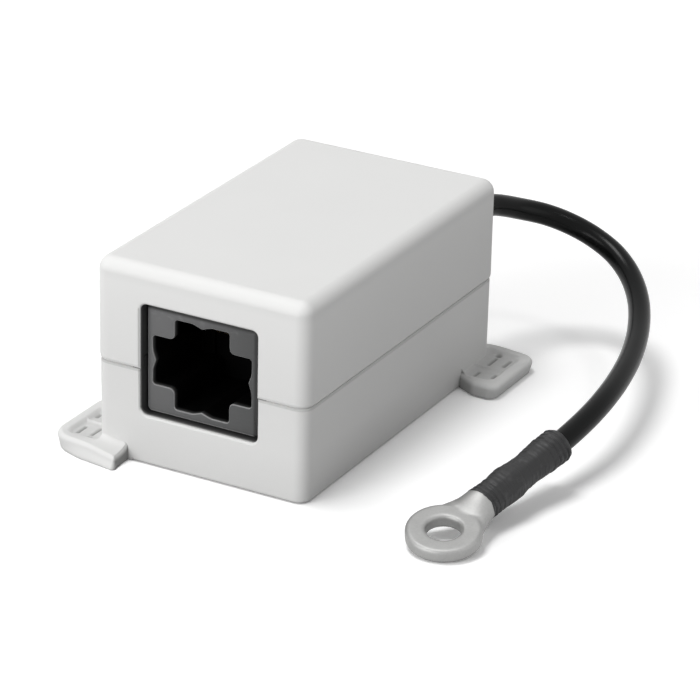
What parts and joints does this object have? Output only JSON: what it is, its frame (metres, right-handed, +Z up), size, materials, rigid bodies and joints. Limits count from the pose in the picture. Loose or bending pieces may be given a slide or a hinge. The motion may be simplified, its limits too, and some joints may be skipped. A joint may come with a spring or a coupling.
{
  "type": "ethernet surge protector",
  "caption": "Inline network cable surge protector: a plastic box with fixing ears, a modular socket at each end and a ground lead with a ring terminal.",
  "frame": {"origin": "middle of the underside of the box", "axes": "+Z up, the front socket faces -Y, +X towards the side where the ground lead lies"},
  "size_m": [0.0531, 0.0607, 0.0228],
  "materials": {
    "housing_plastic": "satin",
    "socket_plastic": "matte",
    "contact_metal": "satin",
    "board_laminate": "satin",
    "tube_ceramic": "satin",
    "diode_plastic": "matte",
    "tinned_metal": "satin",
    "screw_steel": "satin",
    "wire_insulation": "satin",
    "sleeve_rubber": "matte"
  },
  "bodies": {
    "root": {"upper_cover": "housing_plastic", "lower_base": "housing_plastic", "front_jack_housing": "socket_plastic", "rear_jack_housing": "socket_plastic", "front_contact_carrier": "socket_plastic", "rear_contact_carrier": "socket_plastic", "front_contact_1": "contact_metal", "front_contact_2": "contact_metal", "front_contact_3": "contact_metal", "front_contact_4": "contact_metal", "front_contact_5": "contact_metal", "front_contact_6": "contact_metal", "front_contact_7": "contact_metal", "front_contact_8": "contact_metal", "rear_contact_1": "contact_metal", "rear_contact_2": "contact_metal", "rear_contact_3": "contact_metal", "rear_contact_4": "contact_metal", "rear_contact_5": "contact_metal", "rear_contact_6": "contact_metal", "rear_contact_7": "contact_metal", "rear_contact_8": "contact_metal", "circuit_board": "board_laminate", "surge_tube_1": "tube_ceramic", "surge_tube_2": "tube_ceramic", "surge_tube_3": "tube_ceramic", "surge_tube_4": "tube_ceramic", "suppressor_diode_1": "diode_plastic", "suppressor_diode_2": "diode_plastic", "suppressor_diode_3": "diode_plastic", "suppressor_diode_4": "diode_plastic", "earth_terminal": "tinned_metal", "case_screws": "screw_steel", "ground_wire": "wire_insulation", "ground_sleeve": "sleeve_rubber", "ring_terminal": "tinned_metal"}
  },
  "joints": []
}
